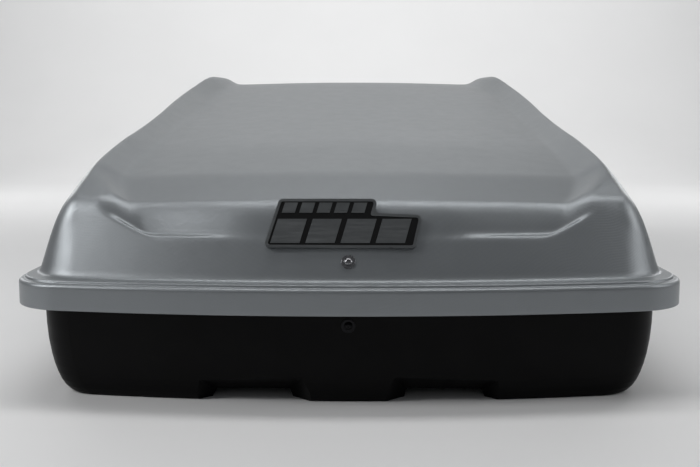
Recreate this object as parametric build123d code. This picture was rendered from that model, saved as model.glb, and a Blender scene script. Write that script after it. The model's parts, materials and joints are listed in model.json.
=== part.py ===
"""Rear-opening hard-shell roof cargo box.

Frame: X to the right, Y from the nose to the rear, Z up, millimetres.
The origin is on the ground plane of the tray's ridges, centred in X and Y.
The lid is hinged at the nose and shown closed, with the lock released.
"""
import math
import os

from build123d import *

# Overall envelope
HALF_WIDTH = 472.5
HALF_LENGTH = 800.0
NOSE_BOW = 2150.0
TAIL_BOW = 3000.0
NOSE_CORNER = 90.0
TAIL_CORNER = 120.0
WALL = 3.0

# Lid rim, heights above the ridges
SKIRT_BOTTOM = 129.0
LEDGE_LOW = 165.0
LEDGE_HIGH = 169.0
LEDGE_STEP = 9.0
RIM_ROUND = 6.0

# Lid dome
DOME_HALF_WIDTH = 449.9
DOME_FRONT = -766.0
DOME_REAR = 767.0
DOME_BASE = 170.0
NOSE_SLOPE = 2.05
PANEL_HALF_WIDTH = 340.0
RAIL_SLOPE = 0.67

# Tray
TRAY_RIM = 148.0
TRAY_INSET = 33.5
TRAY_DRAFT = 0.04
TRAY_LEVELS = [(148, 35, 33.5), (98, 36.2, 35.5), (75, 38.2, 36.42), (55, 41.7, 37.22), (40, 45.5, 37.82),
               (28, 50, 38.3), (18, 54.7, 39.3), (10, 60, 41), (4, 66.5, 43.5), (1.2, 72.5, 45.2), (0, 80.5, 47.5)]
FLANGE_INSET = 19.0
FLANGE_THICK = 4.0
CHANNEL_HEIGHT = 12.0
CHANNEL_MOUTH = -760.0
CHANNEL_FRONT = -728.0
CHANNEL_REAR = 600.0
POCKET_X = 300.0
POCKET_Y = 380.0
POCKET_HEIGHT = 36.0

# Seal
SEAL_INSET = 21.0
SEAL_WIDTH = 8.0
SEAL_TOP = 161.6
SEAL_GAP = 104.0

# Front hinge
HINGE_Y = -788.0
HINGE_Z = 153.0
KNUCKLE_R = 5.0
HINGE_PIN_R = 2.0
HINGE_HALF = 45.0
KNUCKLE_SPLIT = 15.0
LEAF = 2.0
LEAF_GAP = 0.6
LID_SCREW_Z = 195.0
TRAY_SCREW_Z = 109.0
SCREW_R = 3.0
WASHER_R = 9.75

# Lid stays
STAY_X = 414.0
STAY_Y = 520.0
STAY_Z = -45.0
STAY_LENGTH = 400.0
STAY_RISE = 36.0
STAY_THICK = 5.0
LID_OPEN = 30.0
TRACK_X = 421.0
BRACKET_X = 428.0
SLOT_HALF = 4.3

# Rear lock
LOCK_Z = 105.0
ROD_Y = 722.0
GEAR_MODULE = 1.25
GEAR_TEETH = 16
ROD_REACH = 333.0
STRIKER_X = 338.0

# Bar clamps
LEG_HALF = 45.0
LEG_R = 4.0
LEG_TOP = 100.0
LOOP_BOTTOM = 3.0
PLATE_THICK = 4.0
SPARE_OFFSET = 52.0
SPARE_R = 4.25


def bow(x):
    return x * x / (2 * NOSE_BOW)


def outline(half_front, half_rear, front, rear, nose_corner, tail_corner):
    """Closed plan outline with a bowed nose and tail and rounded corners."""
    rf = NOSE_BOW
    rr = TAIL_BOW
    cf = front + rf - math.sqrt(rf * rf - half_front * half_front)
    cr = rear - rr + math.sqrt(rr * rr - half_rear * half_rear)
    edges = [
        ThreePointArc((-half_front, cf), (0, front), (half_front, cf)),
        Line((half_front, cf), (half_rear, cr)),
        ThreePointArc((half_rear, cr), (0, rear), (-half_rear, cr)),
        Line((-half_rear, cr), (-half_front, cf)),
    ]
    face = make_face(edges)
    face = fillet(face.vertices().filter_by(lambda v: v.Y < 0), radius=nose_corner)
    tail = face.vertices().filter_by(lambda v: v.Y > 0).sort_by(Axis.Y)[-2:]
    return fillet(tail, radius=tail_corner)


def plan(inset):
    """Outline of the rim seen from above, moved inward."""
    half = HALF_WIDTH - inset
    return outline(half, half, -HALF_LENGTH + inset, HALF_LENGTH - inset,
                   NOSE_CORNER - inset, TAIL_CORNER - inset)


def shifted(points, depth):
    """Move an open (y, z) path to its lower side by depth."""
    moved = []
    last = len(points) - 1
    for i, (y, z) in enumerate(points):
        before = points[max(i - 1, 0)]
        after = points[min(i + 1, last)]
        n1 = math.atan2(z - before[1], y - before[0]) if i > 0 else None
        n2 = math.atan2(after[1] - z, after[0] - y) if i < last else None
        n1 = n2 if n1 is None else n1
        n2 = n1 if n2 is None else n2
        middle = (n1 + n2) / 2
        reach = depth / math.cos((n2 - n1) / 2)
        moved.append((y + reach * math.sin(middle), z - reach * math.cos(middle)))
    return moved


def skin(path, stations, close_height):
    """Ruled solid between a (y, z) path and a level, blended along X."""
    faces = []
    for x, dy, dz in stations:
        points = [(x, y + dy, z + dz) for y, z in path]
        points = points + [(x, points[-1][1], close_height), (x, points[0][1], close_height)]
        faces.append(make_face(Polyline(*points, close=True)))
    return loft(faces, ruled=True)


def both_sides(stations):
    left = [(-x, dy, dz) for x, dy, dz in stations[::-1] if x > 0]
    return left + stations


# Crest line of the side rails and centre line of the recessed panel, (y, z)
RAIL = [(-790, 128), (-745, 191), (-721, 225), (-706, 246), (-681, 276), (-651, 300), (-616, 316),
        (-556, 331), (-404, 363), (31, 421), (399, 465), (600, 481), (650, 483), (900, 483)]
TAIL = [(-900, 484), (655, 484), (684, 477), (706, 461), (720, 436), (730, 395), (742, 300), (774, 140)]
PANEL = [(-830, 230), (-616, 307), (-416, 345), (200, 427), (500, 467), (590, 474), (830, 474)]


def rail_stations(depth):
    stations = [(0, -32, 0), (200, -23, 0), (300, -11, 0)]
    shoulder = [(368, 0, 0, 0), (386, 2, -9, 1.1), (400, 4, -27, 1.7), (414, 6, -58, 2.6), (432, 8, -112, 3.2),
                (460, 8, -200, 3.2)]
    for x, dy, dz, steep in shoulder:
        stations.append((x, dy, dz - depth * (math.hypot(1, steep) - 1)))
    return both_sides(stations)


def panel_stations(depth):
    stations = [(0, 0, 0), (115, 3, -1.3), (230, 12, -5.5)]
    foot = PANEL_HALF_WIDTH + 0.3 * depth
    stations.append((foot, 27, -12))
    stations.append((470, 37, -12 + RAIL_SLOPE * (470 - foot)))
    return both_sides(stations)


def dome(depth, low):
    """Solid under the lid's surface moved inward by depth, above the height low."""
    high = 520.0
    sides = 1.04 * depth
    front = 1.1126 * depth
    rear = 1.025 * depth

    def level(z):
        rise = z - DOME_BASE
        return Pos(0, 0, z) * outline(DOME_HALF_WIDTH - rise / 3.0 - sides, DOME_HALF_WIDTH - rise / 4.5 - sides,
                                      DOME_FRONT + rise / NOSE_SLOPE + front, DOME_REAR - rise / 4.5 - rear,
                                      62 - depth, 88 - depth)

    walls = loft([level(low), level(high)], ruled=True)
    rails = skin(shifted(RAIL, depth), rail_stations(depth), -300)
    panel = skin(shifted(PANEL, depth), panel_stations(depth), 800)
    tail = profile_x(shifted(TAIL, depth) + [(774, -300), (-900, -300)], -600, 600)
    return (walls & rails & tail) - panel


def slab(inset, low, high):
    return Pos(0, 0, low) * extrude(plan(inset), amount=high - low)


def block(x0, x1, y0, y1, z0, z1):
    centre = Pos((x0 + x1) / 2, (y0 + y1) / 2, (z0 + z1) / 2)
    return centre * Box(x1 - x0, y1 - y0, z1 - z0)


def rod_x(x0, x1, y, z, r):
    return Pos((x0 + x1) / 2, y, z) * Rot(0, 90, 0) * Cylinder(r, x1 - x0)


def rod_y(x, y0, y1, z, r):
    return Pos(x, (y0 + y1) / 2, z) * Rot(90, 0, 0) * Cylinder(r, y1 - y0)


def rod_z(x, y, z0, z1, r):
    return Pos(x, y, (z0 + z1) / 2) * Cylinder(r, z1 - z0)


def profile_x(points, x0, x1):
    """Extrude a (y, z) outline along X."""
    face = make_face(Polyline(*[(0, y, z) for y, z in points], close=True))
    return Pos(x0, 0, 0) * extrude(face, amount=x1 - x0, dir=(1, 0, 0))


def profile_y(points, y0, y1):
    """Extrude an (x, z) outline along Y."""
    face = make_face(Polyline(*[(x, 0, z) for x, z in points], close=True))
    return Pos(0, y0, 0) * extrude(face, amount=y1 - y0, dir=(0, 1, 0))


def flip(shape):
    return mirror(shape, about=Plane.YZ)


def save(name, shape):
    solids = shape.solids()
    item = solids[0] if len(solids) == 1 else Compound(children=list(solids))
    item.label = name
    export_step(item, f"parts/{name}.step")
    box = item.bounding_box()
    print(f"{name}: {len(solids)} solids, {item.volume / 1000:.1f} cm3, {box.min} {box.max}", flush=True)


def tray_inset(z):
    return TRAY_INSET + (TRAY_RIM - z) * TRAY_DRAFT


def tray_body(grow):
    """Tub whose sides curl in more than its ends: height, side inset, end inset."""
    faces = []
    for z, side, end in TRAY_LEVELS:
        if grow:
            share = min(1, z / 40) ** 0.5
            side = side + grow * share
            end = end + grow * share
            z = z + grow * (1 - z / TRAY_RIM) if z < TRAY_RIM else z + 2
        half = HALF_WIDTH - side
        level = outline(half, half, -HALF_LENGTH + end, HALF_LENGTH - end,
                        NOSE_CORNER - end, TAIL_CORNER - end)
        faces.append(Pos(0, 0, z) * level)
    return loft(faces, ruled=True)


def trapezoid(x0, x1, x2, x3, y, low, high):
    return make_face(Polyline((x0, y, low), (x1, y, low), (x2, y, high), (x3, y, high), close=True))


def channel(grow):
    """Right-hand floor channel with its flared front mouth."""
    high = CHANNEL_HEIGHT + grow
    mouth = trapezoid(44 - grow, 226 + grow, 212.5 + grow, 64 - grow, CHANNEL_MOUTH, -2, 35 + grow)
    throat = trapezoid(78 - grow, 192 + grow, 188 + grow, 82 - grow, CHANNEL_FRONT, -2, high)
    flare = loft([mouth, throat], ruled=True) + extrude(mouth, amount=20, dir=(0, -1, 0))
    run = extrude(throat, amount=CHANNEL_REAR - CHANNEL_FRONT + grow, dir=(0, 1, 0))
    return flare + run


def pocket(grow, x, y):
    low = Pos(x, y, -2) * Rectangle(152 + 2 * grow, 132 + 2 * grow)
    high = Pos(x, y, POCKET_HEIGHT + grow) * Rectangle(140 + 2 * grow, 120 + 2 * grow)
    return loft([low, high], ruled=True)


CLAMPS = [(sx * POCKET_X, sy * POCKET_Y) for sy in (-1, 1) for sx in (-1, 1)]
NOSE_ANGLE = math.atan(NOSE_SLOPE)
NOSE_NORMAL = Vector(0, -math.sin(NOSE_ANGLE), math.cos(NOSE_ANGLE))
DRAFT_ANGLE = math.atan(TRAY_DRAFT)
TRAY_NORMAL = Vector(0, -math.cos(DRAFT_ANGLE), -math.sin(DRAFT_ANGLE))
LID_SCREW = Vector(0, -765 + (LID_SCREW_Z - 172) / NOSE_SLOPE, LID_SCREW_Z)
TRAY_SCREW = Vector(0, -HALF_LENGTH + tray_inset(TRAY_SCREW_Z), TRAY_SCREW_Z)


def on_wall(point, normal):
    return Plane(origin=point, x_dir=(1, 0, 0), z_dir=normal).location


def drill(point, normal, radius):
    return on_wall(point, normal) * Cylinder(radius, 40)


# Shells used by several parts
lid_inner = dome(WALL, 150)
lid_lining = dome(WALL + 0.3, 150)
lid_lining_deep = dome(WALL + 2.8, 150)
tray_outer = tray_body(0)
tray_inner = tray_body(WALL)
for side in (1, -1):
    tool = channel(WALL)
    tray_inner = tray_inner - (tool if side > 0 else flip(tool))
for x, y in CLAMPS:
    tray_inner = tray_inner - pocket(WALL, x, y)


def make_lid():
    rim = slab(0, SKIRT_BOTTOM, LEDGE_LOW)
    rim = fillet(rim.edges().group_by(Axis.Z)[-1], radius=RIM_ROUND)
    step = slab(LEDGE_STEP, LEDGE_LOW - 10, LEDGE_HIGH)
    step = fillet(step.edges().group_by(Axis.Z)[-1], radius=2)
    shell = rim + step + dome(0, LEDGE_HIGH - 4)
    shell = shell - slab(WALL, SKIRT_BOTTOM - 5, LEDGE_LOW - WALL)
    shell = shell - slab(LEDGE_STEP + WALL, LEDGE_LOW - WALL - 5, LEDGE_HIGH - WALL)
    shell = shell - lid_inner
    return shell - drill(LID_SCREW, NOSE_NORMAL, 3.3)


def make_tray():
    tub = tray_outer
    flange = slab(FLANGE_INSET, TRAY_RIM - FLANGE_THICK, TRAY_RIM)
    tool = channel(0)
    tub = tub + flange - tool - flip(tool)
    for x, y in CLAMPS:
        tub = tub - pocket(0, x, y)
    tub = tub - tray_inner
    for x, y in CLAMPS:
        for leg in (-LEG_HALF, LEG_HALF):
            slot = Pos(x, y + leg, POCKET_HEIGHT) * Rot(0, 0, 90) * SlotOverall(26, 9.4)
            tub = tub - Pos(0, 0, -2) * extrude(slot, amount=10)
        spare = x + math.copysign(SPARE_OFFSET, x)
        tub = tub - rod_z(spare, y, POCKET_HEIGHT - 5, POCKET_HEIGHT + 8, SPARE_R)
    tub = tub - rod_y(0, 740, 790, LOCK_Z, 13.2)
    return tub - drill(TRAY_SCREW, TRAY_NORMAL, 3.3)


def make_seal():
    ring = slab(SEAL_INSET, TRAY_RIM, SEAL_TOP) - slab(SEAL_INSET + SEAL_WIDTH, TRAY_RIM - 1, SEAL_TOP + 1)
    ring = fillet(ring.edges().group_by(Axis.Z)[-1], radius=3)
    bore = slab(SEAL_INSET + 2, TRAY_RIM + 4, SEAL_TOP - 2.5)
    bore = bore - slab(SEAL_INSET + SEAL_WIDTH - 2, TRAY_RIM, SEAL_TOP)
    ring = ring - bore
    return ring - block(-SEAL_GAP / 2, SEAL_GAP / 2, -810, -740, 140, 170)


def knuckle(x0, x1):
    return rod_x(x0, x1, HINGE_Y, HINGE_Z, KNUCKLE_R)


def make_tray_leaf():
    inner = -HALF_LENGTH + TRAY_INSET + WALL + LEAF_GAP
    low = 90.0
    drop = (TRAY_RIM - low) * TRAY_DRAFT
    outline = [
        (HINGE_Y, TRAY_RIM + 0.02),
        (inner, TRAY_RIM + 0.02),
        (inner + drop, low),
        (inner + drop + LEAF, low),
        (inner + LEAF + 0.2, TRAY_RIM + LEAF),
        (HINGE_Y, TRAY_RIM + LEAF),
    ]
    leaf = profile_x(outline, -HINGE_HALF, HINGE_HALF)
    leaf = leaf - block(-KNUCKLE_SPLIT, KNUCKLE_SPLIT, -800, HINGE_Y + 7, 140, 165)
    for side in (-1, 1):
        ends = sorted((side * KNUCKLE_SPLIT, side * HINGE_HALF))
        leaf = leaf + knuckle(ends[0], ends[1])
    leaf = leaf - rod_x(-60, 60, HINGE_Y, HINGE_Z, HINGE_PIN_R + 0.02)
    return leaf - drill(TRAY_SCREW, TRAY_NORMAL, 3.3)


def make_lid_leaf():
    under = LEDGE_HIGH - WALL - 0.3
    shift = (WALL + LEAF_GAP) / math.sin(NOSE_ANGLE)
    outer = lambda z: -765 + (z - 172) / NOSE_SLOPE + shift
    thick = LEAF / math.sin(NOSE_ANGLE)
    foot = under - LEAF
    top = 214.0
    outline = [
        (HINGE_Y - 1, HINGE_Z + 3),
        (HINGE_Y + 2, HINGE_Z + 3),
        (HINGE_Y + 6, foot),
        (outer(foot) + thick, foot),
        (outer(top) + thick, top),
        (outer(top), top),
        (outer(under), under),
        (HINGE_Y + 5, under),
        (HINGE_Y - 1, HINGE_Z + KNUCKLE_R),
    ]
    leaf = profile_x(outline, -HINGE_HALF, HINGE_HALF)
    for side in (-1, 1):
        ends = sorted((side * (KNUCKLE_SPLIT - 0.6), side * 60))
        leaf = leaf - block(ends[0], ends[1], -800, HINGE_Y + 8, 140, 170)
    leaf = leaf + knuckle(-KNUCKLE_SPLIT + 0.6, KNUCKLE_SPLIT - 0.6)
    leaf = leaf - rod_x(-60, 60, HINGE_Y, HINGE_Z, HINGE_PIN_R + 0.06)
    return leaf - drill(LID_SCREW, NOSE_NORMAL, 3.3)


def screw_head(height, radius):
    """Domed button head with a hexagonal socket."""
    sphere_r = (radius * radius + height * height) / (2 * height)
    cap = Pos(0, 0, height - sphere_r) * Sphere(sphere_r)
    head = cap & Pos(0, 0, height / 2) * Cylinder(radius, height)
    socket = extrude(RegularPolygon(2.3, 6), amount=5)
    return head - Pos(0, 0, height - 2.4) * socket


def screw_parts(point, normal):
    place = on_wall(point, normal)
    washer = Pos(0, 0, 0.8) * (Cylinder(WASHER_R, 1.5) - Cylinder(3.25, 3))
    washer = fillet(washer.edges().filter_by(GeomType.CIRCLE).group_by(Axis.Z)[-1].sort_by(SortBy.RADIUS)[-1:], 0.6)
    head = Pos(0, 0, 1.57) * screw_head(3.6, 6.0)
    shank = Pos(0, 0, -6) * Cylinder(SCREW_R, 15.3)
    grip = WALL + LEAF_GAP + LEAF + 0.1
    nut = extrude(RegularPolygon(5.77, 6), amount=5) - Cylinder(SCREW_R + 0.02, 20)
    nut = Pos(0, 0, -grip - 5.3) * nut
    return place * (head + shank), place * washer, place * nut


def track_height(lid_angle, ratio):
    start = math.asin((STAY_RISE - STAY_Z) / STAY_LENGTH)
    arm = start + ratio * lid_angle
    y = STAY_Y + STAY_LENGTH * math.cos(arm)
    z = STAY_Z + STAY_LENGTH * math.sin(arm)
    along = y * math.cos(lid_angle) + z * math.sin(lid_angle)
    return along, -y * math.sin(lid_angle) + z * math.cos(lid_angle)


def solve_ratio():
    """Arm turn per lid turn that brings the arm's pin back to its height in the track."""
    low = 2.3
    high = 2.7
    for _ in range(60):
        middle = (low + high) / 2
        if track_height(math.radians(LID_OPEN), middle)[1] < STAY_RISE:
            low = middle
        else:
            high = middle
    return low


STAY_RATIO = solve_ratio()
STAY_START = math.asin((STAY_RISE - STAY_Z) / STAY_LENGTH)
PIVOT_Y = HINGE_Y + STAY_Y
PIVOT_Z = HINGE_Z + STAY_Z
TIP_Y = PIVOT_Y + STAY_LENGTH * math.cos(STAY_START)
TIP_Z = PIVOT_Z + STAY_LENGTH * math.sin(STAY_START)


def make_track():
    steps = 24
    centre = []
    for i in range(steps + 1):
        angle = math.radians(LID_OPEN + 1) * i / steps - math.radians(0.5)
        along, up = track_height(angle, STAY_RATIO)
        centre.append((HINGE_Y + along, HINGE_Z + up))
    upper = []
    lower = []
    for i, (y, z) in enumerate(centre):
        before = centre[max(i - 1, 0)]
        after = centre[min(i + 1, steps)]
        dy = after[0] - before[0]
        dz = after[1] - before[1]
        n = math.hypot(dy, dz)
        upper.append((y - dz / n * SLOT_HALF, z + dy / n * SLOT_HALF))
        lower.append((y + dz / n * SLOT_HALF, z - dy / n * SLOT_HALF))
    slot = profile_x(upper + lower[::-1], TRACK_X - 1, TRACK_X + 3)
    for y, z in (centre[0], centre[-1]):
        slot = slot + rod_x(TRACK_X - 1, TRACK_X + 3, y, z, SLOT_HALF)
    y0 = centre[-1][0] - 30
    y1 = centre[0][0] + 30
    z0 = min(z for _, z in centre) - 14
    z1 = max(z for _, z in centre) + 13
    plate = block(TRACK_X, TRACK_X + 2, y0, y1, z0, z1) - slot
    for y in (y0, y1 - 16):
        plate = plate + (block(TRACK_X + 1, 455, y, y + 16, z0 + 4, z1 - 4) & lid_lining)
    return plate


def make_arm():
    length = STAY_LENGTH
    bar = Pos(length / 2, 0, 0) * Box(length, 18, STAY_THICK)
    bar = bar + Cylinder(12, STAY_THICK) + Pos(length, 0, 0) * Cylinder(9, STAY_THICK)
    bar = bar - Cylinder(4.06, 20) - Pos(length, 0, 0) * Cylinder(4.02, 20)
    slot = Pos(length / 2, 0, 0) * SlotOverall(length - 70, 7)
    bar = bar - Pos(0, 0, 1.2) * extrude(slot, amount=5)
    upright = Plane(origin=(STAY_X, PIVOT_Y, PIVOT_Z), x_dir=(0, math.cos(STAY_START), math.sin(STAY_START)),
                    z_dir=(1, 0, 0))
    return upright.location * bar


def make_roller():
    pin = rod_x(STAY_X - 2.5, 425.4, TIP_Y, TIP_Z, 4.0)
    for x0, x1 in ((STAY_X + 2.6, TRACK_X - 0.3), (TRACK_X + 2.4, TRACK_X + 4.4)):
        pin = pin + rod_x(x0, x1, TIP_Y, TIP_Z, 7.0)
    return pin


def make_bracket():
    plate = block(BRACKET_X, 450, PIVOT_Y - 34, PIVOT_Y + 34, PIVOT_Z - 20, PIVOT_Z + 20) & tray_inner
    boss = rod_x(STAY_X + 3.1, BRACKET_X + 1.5, PIVOT_Y, PIVOT_Z, 10)
    rib = block(STAY_X + 8, BRACKET_X + 1.5, PIVOT_Y - 26, PIVOT_Y + 26, PIVOT_Z - 17, PIVOT_Z - 12)
    rib = rib + block(STAY_X + 8, BRACKET_X + 1.5, PIVOT_Y - 2.5, PIVOT_Y + 2.5, PIVOT_Z - 17, PIVOT_Z - 6)
    bracket = plate + boss + rib
    return bracket - rod_x(400, BRACKET_X - 3.5, PIVOT_Y, PIVOT_Z, 4.02)


def make_pivot():
    head = rod_x(STAY_X - 5.6, STAY_X - 2.8, PIVOT_Y, PIVOT_Z, 8)
    return head + rod_x(STAY_X - 3, BRACKET_X - 5.5, PIVOT_Y, PIVOT_Z, 4.0)


def bracket_screws():
    heads = []
    for dy in (-26, 26):
        for dz in (-4, 12):
            heads.append(rod_x(BRACKET_X - 2.7, BRACKET_X - 0.05, PIVOT_Y + dy, PIVOT_Z + dz, 4.5))
    return heads


def gear(teeth, module, width, bore):
    """Spur gear about Z with straight-flanked teeth, one tooth along +X."""
    pitch = module * teeth / 2
    points = []
    for i in range(teeth):
        for part, r in ((-0.40, pitch - 1.3 * module), (-0.13, pitch + 0.9 * module),
                        (0.13, pitch + 0.9 * module), (0.40, pitch - 1.3 * module)):
            angle = 2 * math.pi * (i + part * (0.95 if r < pitch else 0.72)) / teeth
            points.append((r * math.cos(angle), r * math.sin(angle)))
    face = make_face(Polyline(*points, close=True))
    return extrude(face, amount=width) - Cylinder(bore, 3 * width)


PITCH_R = GEAR_MODULE * GEAR_TEETH / 2
RACK_STEP = math.pi * GEAR_MODULE


def make_rod_right():
    """Rack under the pinion, then a bar out to the right-hand striker."""
    line = LOCK_Z - PITCH_R
    bar = block(-26, 42, ROD_Y - 5, ROD_Y + 5, line - 7.5, line - 1.7)
    for i in range(-7, 9):
        x = (i + 0.5) * RACK_STEP
        if x - 2 > -26 and x + 2 < 36:
            tooth = [(x - 1.35, line - 1.8), (x + 1.35, line - 1.8), (x + 0.5, line + 1.05), (x - 0.5, line + 1.05)]
            bar = bar + profile_y(tooth, ROD_Y - 5, ROD_Y + 5)
    bar = bar + block(36, 44, ROD_Y - 5, ROD_Y + 5, line - 7.5, LOCK_Z + 4)
    bar = bar + rod_x(40, ROD_REACH, ROD_Y, LOCK_Z, 4)
    return bar


def make_lock():
    wall_y = HALF_LENGTH - tray_inset(LOCK_Z) - WALL
    plate = block(-34, 34, wall_y - 3.2, wall_y - 0.2, LOCK_Z - 24, LOCK_Z + 24)
    plate = plate & tray_inner
    tube = rod_y(0, 731, wall_y + 7.2, LOCK_Z, 13)
    housing = plate + tube
    housing = housing - rod_y(0, 700, 790, LOCK_Z, 9.05)
    ring = rod_y(0, wall_y + 1, wall_y + 7.2, LOCK_Z, 19) - rod_y(0, 700, 790, LOCK_Z, 13.05)
    ring = fillet(ring.edges().filter_by(GeomType.CIRCLE).group_by(Axis.Y)[-1].sort_by(SortBy.RADIUS)[-1:], 1.5)
    ring = ring - tray_outer
    barrel = rod_y(0, 730, wall_y + 8.2, LOCK_Z, 9.0)
    barrel = barrel + rod_y(0, ROD_Y - 8, 730, LOCK_Z, 6.0)
    barrel = barrel - block(-1.3, 1.3, wall_y - 8, 800, LOCK_Z - 5, LOCK_Z + 5)
    pinion = Pos(0, ROD_Y + 5, LOCK_Z) * Rot(90, 0, 0) * gear(GEAR_TEETH, GEAR_MODULE, 10, 6.02)
    return housing, ring, barrel, pinion


def make_guides():
    guides = []
    for x in (90, 210, 312):
        wall_y = HALF_LENGTH - tray_inset(LOCK_Z) - WALL - x * x / (2 * TAIL_BOW)
        arm = block(x - 7, x + 7, ROD_Y - 9, wall_y + 6, LOCK_Z - 9, LOCK_Z + 9)
        foot = block(x - 20, x + 20, wall_y - 7, wall_y + 6, LOCK_Z - 14, LOCK_Z + 14)
        guide = (arm + foot) & tray_inner
        guide = guide - rod_x(x - 30, x + 30, ROD_Y, LOCK_Z, 4.3)
        guides.append(guide)
    return guides


def make_striker():
    top = 228.0
    y_at = lambda z: DOME_REAR - 341 ** 2 / (2 * TAIL_BOW) - WALL - 1.2 - (z - DOME_BASE) / 4.5
    outline = [
        (ROD_Y - 12, LOCK_Z - 12),
        (ROD_Y + 11, LOCK_Z - 12),
        (ROD_Y + 11, 150),
        (y_at(180), 176),
        (y_at(top), top),
        (ROD_Y - 12, top - 20),
    ]
    plate = profile_x(outline, STRIKER_X, STRIKER_X + 3)
    foot = block(STRIKER_X - 34, STRIKER_X + 3, 700, 760, 182, top)
    foot = (foot & lid_lining) - lid_lining_deep
    plate = plate + (foot - Pos(0, -14, 0) * foot)
    plate = plate + (block(STRIKER_X, STRIKER_X + 3, 720, 760, 184, top - 2) & lid_lining)
    return plate - rod_x(STRIKER_X - 5, STRIKER_X + 8, ROD_Y, LOCK_Z, 5.2)


def make_u_bolt(x, y):
    r = LEG_R
    bend = 14.0
    low = LOOP_BOTTOM + r
    path = Polyline((x, y - LEG_HALF, LEG_TOP), (x, y - LEG_HALF, low), (x, y + LEG_HALF, low),
                    (x, y + LEG_HALF, LEG_TOP))
    path = fillet(path.vertices().sort_by(Axis.Z)[:2], bend)
    start = Plane(origin=(x, y - LEG_HALF, LEG_TOP), z_dir=(0, 0, -1))
    return sweep(start * Circle(r), path=path)


def make_knob(x, y):
    base = POCKET_HEIGHT + WALL + PLATE_THICK + 0.15
    hub = Cylinder(10, 18) + Pos(0, 0, -7.5) * Cylinder(13, 3)
    wings = SlotOverall(56, 11)
    hub = hub + Pos(0, 0, -2) * extrude(wings, amount=9)
    hub = hub - Cylinder(LEG_R + 0.06, 60)
    return Pos(x, y, base + 9) * hub


def make_clamp_plates():
    plates = []
    base = POCKET_HEIGHT + WALL
    for x, y in CLAMPS:
        plate = block(x - 30, x + 30, y - 58, y + 58, base, base + PLATE_THICK)
        plate = fillet(plate.edges().filter_by(Axis.Z), 10)
        for leg in (-LEG_HALF, LEG_HALF):
            plate = plate - rod_z(x, y + leg, base - 5, base + 10, LEG_R + 0.4)
        plates.append(plate)
    return plates


def make_brace(x):
    outer = [(x - 34, 15.05), (x - 20, 15.05), (x - 15, 25), (x + 15, 25), (x + 20, 15.05), (x + 34, 15.05),
             (x + 34, 16.6), (x + 21, 16.6), (x + 16, 26.6), (x - 16, 26.6), (x - 21, 16.6), (x - 34, 16.6)]
    return profile_y(outer, -560, 560)


def make_lid_brace(y):
    strap = block(-445, 445, y - 28, y + 28, 215, 500)
    return (strap & lid_lining) - lid_lining_deep


def make_badge():
    """Slanted stepped plate on the nose with a bright rim and two rows of plain bars."""
    centre = Vector(0, -765 + (244 - 172) / NOSE_SLOPE, 244)
    place = on_wall(centre, NOSE_NORMAL)
    lean = 0.28

    def outline(inset):
        points = [(-116, -35), (91, -36), (102, 12), (35, 15), (41, 36), (-96, 36)]
        face = make_face(Polyline(*points, close=True))
        if inset:
            face = offset(face, amount=-inset, kind=Kind.INTERSECTION)
        return fillet(face.vertices(), 7 - inset)

    def bar(x, y, width, height):
        shift = lean * height / 2
        points = [(x - shift, y - height / 2), (x + width - shift, y - height / 2),
                  (x + width + shift, y + height / 2), (x + shift, y + height / 2)]
        return Pos(0, 0, 3.2) * extrude(make_face(Polyline(*points, close=True)), amount=1)

    plate = Pos(0, 0, -2) * extrude(outline(4), amount=5.2)
    rim = Pos(0, 0, -2) * (extrude(outline(0), amount=6.4) - extrude(outline(3.95), amount=9))
    bars = [bar(-90 + 24 * i, 23, 18, 15) for i in range(5)]
    bars = bars + [bar(-102 + 48 * i, -11, 40, 35) for i in range(4)]
    seat = dome(-0.15, 150)
    plate = place * plate - seat
    rim = place * rim - seat
    return plate, rim, [place * piece for piece in bars]


save("tray", make_tray())
save("tray_seal", make_seal())
save("lid", make_lid())
save("hinge_tray_leaf", make_tray_leaf())
save("hinge_lid_leaf", make_lid_leaf())
save("hinge_pin", rod_x(-HINGE_HALF - 1, HINGE_HALF + 1, HINGE_Y, HINGE_Z, HINGE_PIN_R))
for place, point, normal in (("lid", LID_SCREW, NOSE_NORMAL), ("tray", TRAY_SCREW, TRAY_NORMAL)):
    screw, washer, nut = screw_parts(point, normal)
    save(f"hinge_{place}_screw", screw)
    save(f"hinge_{place}_washer", washer)
    save(f"hinge_{place}_nut", nut)

track = make_track()
arm = make_arm()
roller = make_roller()
bracket = make_bracket()
striker = make_striker()
rod = make_rod_right()
turned_rod = Pos(0, ROD_Y, LOCK_Z) * Rot(0, 180, 0) * Pos(0, -ROD_Y, -LOCK_Z) * rod
for name, shape in (("stay_track", track), ("stay_arm", arm), ("stay_roller", roller),
                    ("stay_bracket", bracket), ("striker", striker)):
    save(f"{name}_right", shape)
    save(f"{name}_left", flip(shape))
save("lock_rod_right", rod)
save("lock_rod_left", turned_rod)
pivot = make_pivot()
save("stay_pivots", Compound(children=[pivot, flip(pivot)]))
heads = bracket_screws()
save("bracket_screws", Compound(children=heads + [flip(h) for h in heads]))
housing, ring, barrel, pinion = make_lock()
save("lock_housing", housing)
save("lock_escutcheon", ring)
save("lock_cylinder", barrel)
save("lock_pinion", pinion)
guides = make_guides()
save("rod_guides", Compound(children=guides + [flip(g) for g in guides]))
save("clamp_plates", Compound(children=make_clamp_plates()))
for side, x in (("left", -135), ("right", 135)):
    save(f"floor_brace_{side}", make_brace(x))
save("lid_brace_front", make_lid_brace(-250))
save("lid_brace_rear", make_lid_brace(330))
plate, rim, bars = make_badge()
save("badge_plate", plate)
save("badge_rim", rim)
save("badge_bars", Compound(children=bars))
names = ("front_left", "front_right", "rear_left", "rear_right")
for name, (x, y) in zip(names, CLAMPS):
    save(f"u_bolt_{name}", make_u_bolt(x, y))
    save(f"knob_{name}_a", make_knob(x, y - LEG_HALF))
    save(f"knob_{name}_b", make_knob(x, y + LEG_HALF))
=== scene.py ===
import json
import math

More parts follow.
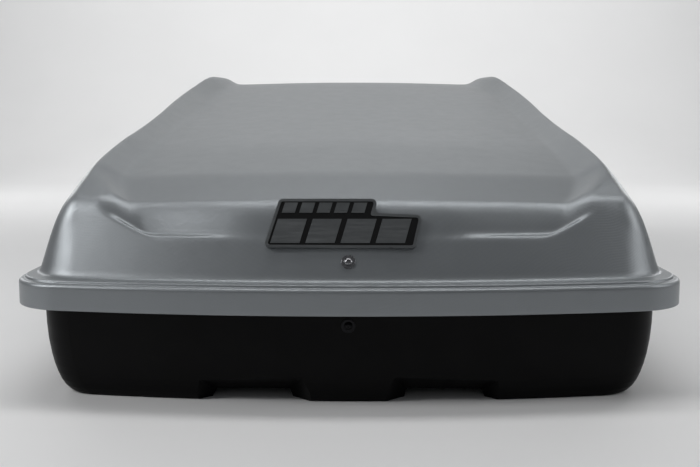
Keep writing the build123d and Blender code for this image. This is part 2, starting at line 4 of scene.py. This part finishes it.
import bpy
import numpy as np
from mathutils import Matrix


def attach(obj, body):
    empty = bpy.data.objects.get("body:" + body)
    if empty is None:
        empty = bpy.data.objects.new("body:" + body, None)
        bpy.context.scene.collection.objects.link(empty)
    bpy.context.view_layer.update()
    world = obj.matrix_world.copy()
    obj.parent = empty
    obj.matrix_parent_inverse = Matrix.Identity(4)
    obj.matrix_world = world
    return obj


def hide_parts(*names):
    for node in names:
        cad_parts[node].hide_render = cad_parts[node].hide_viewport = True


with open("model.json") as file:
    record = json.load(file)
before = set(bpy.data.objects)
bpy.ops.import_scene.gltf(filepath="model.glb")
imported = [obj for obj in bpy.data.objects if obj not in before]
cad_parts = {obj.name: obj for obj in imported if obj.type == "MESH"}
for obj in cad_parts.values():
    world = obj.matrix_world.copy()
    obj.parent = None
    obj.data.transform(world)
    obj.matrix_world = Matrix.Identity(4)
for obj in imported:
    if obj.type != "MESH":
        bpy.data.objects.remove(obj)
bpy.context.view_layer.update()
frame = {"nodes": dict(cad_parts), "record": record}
nodes = frame["nodes"]
scene = bpy.context.scene
MM = 0.001

# ---------------------------------------------------------------- outlines

HALF_WIDTH, HALF_LENGTH = 472.5, 800.0
NOSE_BOW, TAIL_BOW = 2150.0, 3000.0
NOSE_CORNER, TAIL_CORNER = 90.0, 120.0
RIM_ROUND = 6.0
SKIRT_BOTTOM, ROUND_START, RIM_TOP = 129.0, 159.0, 169.0
GROOVE_BOTTOM, GROOVE_INSET = 165.0, 7.4
WALL_X, NOSE_Y, TAIL_Y = 449.9, 766.0, 767.0
WALL_FOOT = 170.0
LID_WALL = 0.003
EMBOSS_PITCH = 0.0034


def end_corner(half, length, bow, radius):
    """Centre height of a rounded corner and the angle where its end arc stops."""
    across = half - radius
    reach = math.sqrt((bow - radius) ** 2 - across**2)
    return length - bow + reach, math.asin(across / (bow - radius))


def outline(inset, counts=(220, 26, 260, 26, 130)):
    """Rim outline moved inward, as a closed loop of points that starts at the nose."""
    half, length = HALF_WIDTH - inset, HALF_LENGTH - inset
    rn, rt = max(NOSE_CORNER - inset, 24), max(TAIL_CORNER - inset, 34)
    cn, an = end_corner(half, length, NOSE_BOW, rn)
    ct, at = end_corner(half, length, TAIL_BOW, rt)
    front, corner, side, tail_corner, tail = counts
    x, y = [], []
    a = np.linspace(0, an, front // 2, endpoint=False)
    x.append(NOSE_BOW * np.sin(a))
    y.append(-length + NOSE_BOW * (1 - np.cos(a)))
    a = np.linspace(an - math.pi / 2, 0, corner, endpoint=False)
    x.append(half - rn + rn * np.cos(a))
    y.append(-cn + rn * np.sin(a))
    t = np.linspace(0, 1, side, endpoint=False)
    x.append(np.full(side, half))
    y.append(-cn + (ct + cn) * t)
    a = np.linspace(0, math.pi / 2 - at, tail_corner, endpoint=False)
    x.append(half - rt + rt * np.cos(a))
    y.append(ct + rt * np.sin(a))
    a = np.linspace(at, 0, tail // 2 + 1)
    x.append(TAIL_BOW * np.sin(a))
    y.append(length - TAIL_BOW * (1 - np.cos(a)))
    x, y = np.concatenate(x), np.concatenate(y)
    return np.concatenate([x, -x[-2:0:-1]]), np.concatenate([y, y[-2:0:-1]])


# ---------------------------------------------------------------- lid surface

def soft_min(a, b, k):
    """The lower of two heights, blended over a width k where they cross."""
    h = np.maximum(k - np.abs(a - b), 0) / k
    return np.minimum(a, b) - h * h * k / 4


def soft_max(a, b, k):
    """The higher of two heights, blended over a width k where they cross."""
    return -soft_min(-a, -b, k)


def ease(t):
    """Smooth step from 0 to 1."""
    t = np.clip(t, 0, 1)
    return t * t * (3 - 2 * t)


def slant(y, height, station, slope):
    """Height at y on a straight line through a height at a station."""
    return height + slope * (y - station)


def wall_height(x, y):
    """Height of the side and end walls, and how softly they meet the top."""
    a = WALL_X - np.abs(x)
    front = y + NOSE_Y - x * x / (2 * NOSE_BOW)
    rear = TAIL_Y - x * x / (2 * TAIL_BOW) - y
    nose = front < rear
    b = np.minimum(front, rear)
    radius = np.where(nose, 66, 90)
    end_slope = np.where(nose, 2.05, 4.5)
    end_soft = np.where(nose, 16, 46)
    aft = np.clip((y + 700) / 1400, 0, 1)
    side_slope = 3.0 + 1.5 * ease((y + 350) / 700)
    side_soft = 66 - 16 * aft
    qa, qb = np.maximum(radius - a, 0), np.maximum(radius - b, 0)
    outside = (qa > 0) | (qb > 0)
    round_distance = radius - np.hypot(qa, qb)
    distance = np.where(outside, round_distance, np.minimum(a, b))
    share = np.where(outside, qb * qb / np.maximum(qa * qa + qb * qb, 1e-9), ease(0.5 + (a - b) / 120))
    slope = side_slope + (end_slope - side_slope) * share
    soft = side_soft + (end_soft - side_soft) * share
    return WALL_FOOT + slope * distance, soft


def panel_height(y):
    """Centre line of the recessed panel: nose, upper nose, two creases and the level tail."""
    z = soft_min(slant(y, 172, -765, 2.05), slant(y, 307, -616, 0.36), 26)
    z = soft_min(z, slant(y, 307, -616, 0.19), 2.5)
    z = soft_min(z, slant(y, 345, -416, 0.133), 2.5)
    return soft_min(z, 476, 18)


def rail_height(y):
    """Top line of the side rails, from the nose to the level tail."""
    z = soft_min(slant(y, 287, -688, 0.51), slant(y, 316, -631, 0.31), 10)
    z = soft_min(z, slant(y, 371, -435, 0.134), 30)
    return soft_min(z, 489, 16)


def lid_height(x, y):
    """Outer surface of the lid above its rim: walls, side rails and the recessed panel."""
    ax = np.abs(x)
    bow = x * x / (2 * NOSE_BOW)
    wall, soft = wall_height(x, y)
    set_back = 12 * ease((ax - 110) / 170)
    crown = (9.5 - 3.5 * ease((y + 600) / 1100)) * (ax / 340) ** 2
    panel = panel_height(y - bow - set_back) - crown
    ledge = 228 - 0.00006 * np.maximum(ax - 110, 0) ** 2
    panel = soft_max(panel, ledge, 8)
    ahead = np.maximum(-585 - y, 0)
    inner = 344 - 0.16 * ahead - 0.0024 * ahead * ahead - 27 * ease((y - 250) / 400)
    reach = ax - inner
    ramp = 0.7 * (reach + np.sqrt(reach * reach + 60)) / 2
    shoulder = soft_min(wall, rail_height(y - bow), soft)
    top = soft_min(shoulder, panel + ramp, 9)
    return soft_max(top, np.full_like(top, RIM_TOP), 9)


def surface_point(x, y, depth):
    """Points of the lid's surface moved inward along its normal."""
    z, e = lid_height(x, y), 0.6
    gx = (lid_height(x + e, y) - lid_height(x - e, y)) / (2 * e)
    gy = (lid_height(x, y + e) - lid_height(x, y - e)) / (2 * e)
    n = np.sqrt(1 + gx * gx + gy * gy)
    return x + gx / n * depth, y + gy / n * depth, z - depth / n


# ---------------------------------------------------------------- mesh helpers

def make_object(name, points, faces, uv=None):
    mesh = bpy.data.meshes.new(name)
    mesh.from_pydata([tuple(p) for p in points], [], faces)
    mesh.update()
    mesh.shade_smooth()
    if uv is not None:
        layer = mesh.uv_layers.new(name="surface")
        index = np.empty(len(mesh.loops), int)
        mesh.loops.foreach_get("vertex_index", index)
        layer.data.foreach_set("uv", np.asarray(uv, float)[index].ravel())
    obj = bpy.data.objects.new(name, mesh)
    scene.collection.objects.link(obj)
    return obj


def ring_faces(rings, count):
    """Quads between closed rings of count points each, first ring lowest."""
    i = np.arange(count)
    j = (i + 1) % count
    faces = []
    for r in range(rings - 1):
        a, b = r * count, (r + 1) * count
        faces += np.stack([a + i, a + j, b + j, b + i], 1).tolist()
    return faces


def surface_uv(points, rings, count):
    """Unrolled coordinates in metres: distance from the rim's inner end, along each ray."""
    grid = points.reshape(rings, count, 3)
    step = np.linalg.norm(np.diff(grid, axis=0), axis=2)
    along = np.concatenate([np.cumsum(step[::-1], axis=0)[::-1], np.zeros((1, count))])
    centre = grid[-1, :, :2]
    ray = grid[rings // 3, :, :2] - centre
    ray /= np.maximum(np.linalg.norm(ray, axis=1, keepdims=True), 1e-9)
    return (centre[None] + ray[None] * along[..., None]).reshape(-1, 2)


# ---------------------------------------------------------------- lid

def build_lid():
    """Lid skin in rings: skirt, rounded rim and its small step, then rays to the middle."""
    profile = [(0.5, SKIRT_BOTTOM), (0.1, SKIRT_BOTTOM + 0.5), (0, SKIRT_BOTTOM + 1.5)]
    profile += [(0, z) for z in (136, 143, 150, 156, ROUND_START)]
    for a in np.radians(np.arange(10, 91, 10)):
        profile.append((RIM_ROUND * (1 - math.cos(a)), ROUND_START + RIM_ROUND * math.sin(a)))
    profile += [(GROOVE_INSET, GROOVE_BOTTOM), (8.3, 165.2), (8.9, 165.8), (9.2, 166.7), (9.5, 167.6),
                (10.1, 168.4), (11.0, 168.9)]
    profile += [(inset, RIM_TOP) for inset in (12.2, 14, 16, 18)]
    points = []
    for inset, z in profile:
        x, y = outline(inset)
        points.append(np.stack([x, y, np.full_like(x, z)], 1))
    bx, by = outline(20)
    count = len(bx)
    cx, cy = np.zeros_like(bx), np.clip(by, -400, 400)
    run = np.concatenate([np.arange(0, 70, 2.2), np.arange(70, 150, 3.6), np.arange(150, 449, 6.5)])
    for t in np.append(run / 452.5, 1.0):
        x, y = bx + (cx - bx) * t, by + (cy - by) * t
        points.append(np.stack([x, y, lid_height(x, y)], 1))
    rings = len(points)
    points = np.concatenate(points) * MM
    obj = make_object("lid_shell", points, ring_faces(rings, count), uv=surface_uv(points, rings, count))
    weld = obj.modifiers.new("weld", "WELD")
    weld.merge_threshold = 0.00002
    solid = obj.modifiers.new("wall", "SOLIDIFY")
    solid.thickness = LID_WALL
    solid.offset = -1
    solid.use_even_offset = True
    return obj


def band(name, station, width, depths, reach, low):
    """Moulded rib across the inside of the lid, following its shape.

    depths are the distances of its two faces from the lid's outer surface.
    The rib stops where the lid comes lower than low.
    """
    across = np.linspace(-reach, reach, 181)
    keep = [x for x in across if lid_height(np.array([x]), np.array([station]))[0] > low]
    columns = len(keep)
    along = np.linspace(-width / 2, width / 2, 9)
    bulge = [0, 1, 1, 3.2, 4.0, 3.2, 1, 1, 0]
    points, faces = [], []
    for side in range(2):
        for dy, extra in zip(along, bulge):
            depth = depths[0] if side == 0 else depths[1] + extra
            x = np.array(keep)
            px, py, pz = surface_point(x, np.full(columns, station + dy), depth)
            points.append(np.stack([px, py, pz], 1))
    rows = len(along)
    for side in range(2):
        for r in range(rows - 1):
            for c in range(columns - 1):
                a = (side * rows + r) * columns + c
                quad = [a, a + 1, a + columns + 1, a + columns]
                faces.append(quad if side == 0 else quad[::-1])
    other = rows * columns
    for c in range(columns - 1):
        faces.append([c + 1, c, c + other, c + 1 + other])
        a = (rows - 1) * columns + c
        faces.append([a, a + 1, a + 1 + other, a + other])
    for r in range(rows - 1):
        a = r * columns
        faces.append([a, a + columns, a + columns + other, a + other])
        a = r * columns + columns - 1
        faces.append([a + columns, a, a + other, a + columns + other])
    return make_object(name, np.concatenate(points) * MM, faces)


lid = build_lid()
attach(lid, "lid")
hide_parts("lid")

# ---------------------------------------------------------------- materials

def node_tree(name):
    material = bpy.data.materials.new(name)
    material.use_nodes = True
    tree = material.node_tree
    tree.nodes.clear()
    out = tree.nodes.new("ShaderNodeOutputMaterial")
    shader = tree.nodes.new("ShaderNodeBsdfPrincipled")
    tree.links.new(shader.outputs["BSDF"], out.inputs["Surface"])
    return material, tree, shader


def math_node(tree, operation, a, b=None):
    node = tree.nodes.new("ShaderNodeMath")
    node.operation = operation
    for i, value in enumerate((a, b)):
        if value is None:
            continue
        if isinstance(value, (int, float)):
            node.inputs[i].default_value = value
        else:
            tree.links.new(value, node.inputs[i])
    return node.outputs[0]


def noise(tree, vector, scale, detail=3.0, rough=0.5):
    node = tree.nodes.new("ShaderNodeTexNoise")
    node.inputs["Scale"].default_value = scale
    node.inputs["Detail"].default_value = detail
    node.inputs["Roughness"].default_value = rough
    tree.links.new(vector, node.inputs["Vector"])
    return node.outputs["Fac"]


def ramp(tree, value, low, high, a, b):
    """Map value from low..high to a..b."""
    node = tree.nodes.new("ShaderNodeMapRange")
    for key, number in (("From Min", low), ("From Max", high), ("To Min", a), ("To Max", b)):
        node.inputs[key].default_value = number
    tree.links.new(value, node.inputs["Value"])
    return node.outputs[0]


def colour_mix(tree, factor, dark, light):
    node = tree.nodes.new("ShaderNodeMix")
    node.data_type = "RGBA"
    node.inputs["A"].default_value = (*dark, 1)
    node.inputs["B"].default_value = (*light, 1)
    tree.links.new(factor, node.inputs["Factor"])
    return node.outputs["Result"]


def object_space(tree):
    return tree.nodes.new("ShaderNodeTexCoord").outputs["Object"]


def bump(tree, height, strength, distance, below=None):
    node = tree.nodes.new("ShaderNodeBump")
    node.inputs["Strength"].default_value = strength
    node.inputs["Distance"].default_value = distance
    tree.links.new(height, node.inputs["Height"])
    if below is not None:
        tree.links.new(below, node.inputs["Normal"])
    return node.outputs["Normal"]


def lid_material():
    """Silver-grey plastic with a fine diagonal diamond emboss."""
    material, tree, shader = node_tree("lid_emboss")
    uv = tree.nodes.new("ShaderNodeUVMap")
    uv.uv_map = "surface"
    split = tree.nodes.new("ShaderNodeSeparateXYZ")
    tree.links.new(uv.outputs["UV"], split.inputs[0])
    k = 2 * math.pi / EMBOSS_PITCH
    p = math_node(tree, "MULTIPLY", math_node(tree, "ADD", split.outputs[0], split.outputs[1]), k)
    q = math_node(tree, "MULTIPLY", math_node(tree, "SUBTRACT", split.outputs[0], split.outputs[1]), k)
    weave = math_node(tree, "MULTIPLY", math_node(tree, "SINE", p), math_node(tree, "SINE", q))
    place = object_space(tree)
    grain = noise(tree, place, 900, 2)
    cloud = noise(tree, place, 3.5, 4)
    silver = colour_mix(tree, cloud, (0.255, 0.272, 0.285), (0.285, 0.303, 0.317))
    tree.links.new(silver, shader.inputs["Base Color"])
    tree.links.new(ramp(tree, noise(tree, place, 40, 3), 0.3, 0.7, 0.37, 0.41), shader.inputs["Roughness"])
    shader.inputs["Metallic"].default_value = 0.7
    low = bump(tree, grain, 0.25, 0.0002)
    tree.links.new(bump(tree, weave, 0.4, 0.00016, low), shader.inputs["Normal"])
    return material


def plastic(name, dark, light, rough, grain_scale, grain_depth, specular=0.5):
    material, tree, shader = node_tree(name)
    place = object_space(tree)
    tree.links.new(colour_mix(tree, noise(tree, place, 6, 4), dark, light), shader.inputs["Base Color"])
    tree.links.new(ramp(tree, noise(tree, place, 30, 4), 0.3, 0.7, rough - 0.05, rough + 0.06),
                   shader.inputs["Roughness"])
    shader.inputs["Specular IOR Level"].default_value = specular
    fine = bump(tree, noise(tree, place, grain_scale, 3), 0.35, grain_depth)
    wave = bump(tree, noise(tree, place, 9, 1), 0.3, 0.0012, fine)
    tree.links.new(wave, shader.inputs["Normal"])
    return material


def metal(name, dark, light, rough, brush=None):
    material, tree, shader = node_tree(name)
    place = object_space(tree)
    shader.inputs["Metallic"].default_value = 1.0
    stretch = tree.nodes.new("ShaderNodeMapping")
    stretch.inputs["Scale"].default_value = brush or (1, 1, 1)
    tree.links.new(place, stretch.inputs["Vector"])
    lines = noise(tree, stretch.outputs[0], 260, 4, 0.6)
    spots = noise(tree, place, 70, 4, 0.6)
    tree.links.new(colour_mix(tree, spots, dark, light), shader.inputs["Base Color"])
    tree.links.new(ramp(tree, lines, 0.3, 0.7, rough - 0.07, rough + 0.09), shader.inputs["Roughness"])
    tree.links.new(bump(tree, lines, 0.25, 0.00012), shader.inputs["Normal"])
    return material


finish = {
    "lid_shell": lid_material(),
    "tray_shell": plastic("tray_black", (0.002, 0.002, 0.0022), (0.0035, 0.0035, 0.0038),
                          0.42, 700, 0.0001, 0.10),
    "rubber": plastic("seal_rubber", (0.012, 0.012, 0.012), (0.02, 0.02, 0.02), 0.7, 500, 0.0003, 0.3),
    "zinc_steel": metal("zinc_plate", (0.44, 0.45, 0.46), (0.60, 0.61, 0.62), 0.34),
    "stainless": metal("stainless", (0.20, 0.20, 0.21), (0.30, 0.30, 0.31), 0.26),
    "black_screw": metal("black_zinc", (0.012, 0.012, 0.013), (0.025, 0.025, 0.027), 0.38),
    "aluminium": metal("aluminium", (0.60, 0.61, 0.62), (0.72, 0.73, 0.74), 0.32, (1, 0.05, 1)),
    "black_plastic": plastic("moulded_black", (0.012, 0.012, 0.012), (0.022, 0.022, 0.022),
                             0.45, 800, 0.0002),
    "lock_metal": metal("lock_chrome", (0.55, 0.55, 0.56), (0.68, 0.68, 0.69), 0.16),
    "badge_black": plastic("badge_black", (0.0012, 0.0012, 0.0012), (0.003, 0.003, 0.003),
                           0.22, 500, 0.00004),
    "badge_silver": metal("badge_satin", (0.20, 0.21, 0.215), (0.27, 0.28, 0.285), 0.34, (0.08, 1, 1)),
}
inside = plastic("lid_inside", (0.20, 0.213, 0.225), (0.245, 0.26, 0.272), 0.5, 600, 0.0002)

lid.data.materials.append(finish["lid_shell"])
lid.data.materials.append(inside)
lid.modifiers["wall"].material_offset = 1
lid.modifiers["wall"].material_offset_rim = 0


for part in frame["record"]["subparts"]:
    obj = nodes[part["node"]]
    obj.data.materials.clear()
    obj.data.materials.append(finish[part["material_slot"]])

RIB_WIDTH, RIB_REACH, RIB_LOW = 56, 440, 216
RIB_DEPTHS = (3.2, 5.6)
for place, station in (("front", -250), ("rear", 330)):
    rib = band("rib_" + place, station, RIB_WIDTH, RIB_DEPTHS, RIB_REACH, RIB_LOW)
    rib.data.materials.append(finish["black_plastic"])
    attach(rib, "lid")
    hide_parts("lid_brace_" + place)

# ---------------------------------------------------------------- stage, light, camera

def cyclorama():
    """Floor that curves up into a back wall."""
    line = [(-9.0, 0.0), (3.2, 0.0)]
    for a in np.radians(np.arange(5, 91, 5)):
        line.append((3.2 + 2.5 * math.sin(a), 2.5 - 2.5 * math.cos(a)))
    line.append((5.7, 7.0))
    points = [(x, y, z) for y, z in line for x in (-12, 12)]
    faces = [[2 * i, 2 * i + 1, 2 * i + 3, 2 * i + 2] for i in range(len(line) - 1)]
    obj = make_object("floor", points, faces)
    material, tree, shader = node_tree("pale_floor")
    place = object_space(tree)
    tree.links.new(colour_mix(tree, noise(tree, place, 2, 3), (0.80, 0.80, 0.80), (0.84, 0.84, 0.84)),
                   shader.inputs["Base Color"])
    shader.inputs["Roughness"].default_value = 0.6
    obj.data.materials.append(material)


def softbox(name, place, target, size, power):
    light = bpy.data.lights.new(name, "AREA")
    light.shape = "RECTANGLE"
    light.size, light.size_y = size
    light.energy = power
    obj = bpy.data.objects.new(name, light)
    scene.collection.objects.link(obj)
    obj.location = place
    aim = np.array(target, float) - np.array(place, float)
    pitch = math.atan2(math.hypot(aim[0], aim[1]), -aim[2])
    obj.rotation_euler = (pitch, 0, math.atan2(-aim[0], aim[1]))
    return obj


cyclorama()
softbox("top", (-0.3, 1.3, 2.4), (0, 0.1, 0.3), (2.2, 1.0), 3)
softbox("strip", (0.25, -0.35, 2.1), (0.25, -0.4, 0.2), (2.6, 0.45), 17)
softbox("left", (-2.3, -1.4, 1.8), (-0.3, -0.5, 0.3), (0.6, 1.2), 31)
softbox("right", (2.3, -0.9, 1.3), (0.3, -0.5, 0.3), (0.5, 1.2), 10)
softbox("rear_left", (-2.4, 2.2, 1.4), (0, 0.6, 0.2), (1.2, 1.0), 13)
softbox("rear_right", (2.4, 2.2, 1.4), (0, 0.6, 0.2), (1.2, 1.0), 13)
softbox("backdrop", (0, 2.2, 3.2), (0, 5.7, 1.6), (6.0, 1.0), 140)

world = bpy.data.worlds.new("studio")
scene.world = world
world.use_nodes = True
world.node_tree.nodes["Background"].inputs["Color"].default_value = (0.95, 0.97, 1.0, 1)
world.node_tree.nodes["Background"].inputs["Strength"].default_value = 0.15
scene.view_settings.view_transform = "Standard"

camera = bpy.data.cameras.new("camera")
camera.lens = 51.03
camera.sensor_width = 36
camera.clip_start = 0.05
eye = bpy.data.objects.new("camera", camera)
scene.collection.objects.link(eye)
eye.location = (0.0112, -2.088, 0.3993)
eye.rotation_euler = (math.radians(90 - 7.0556), 0, math.radians(0.3845))
scene.camera = eye
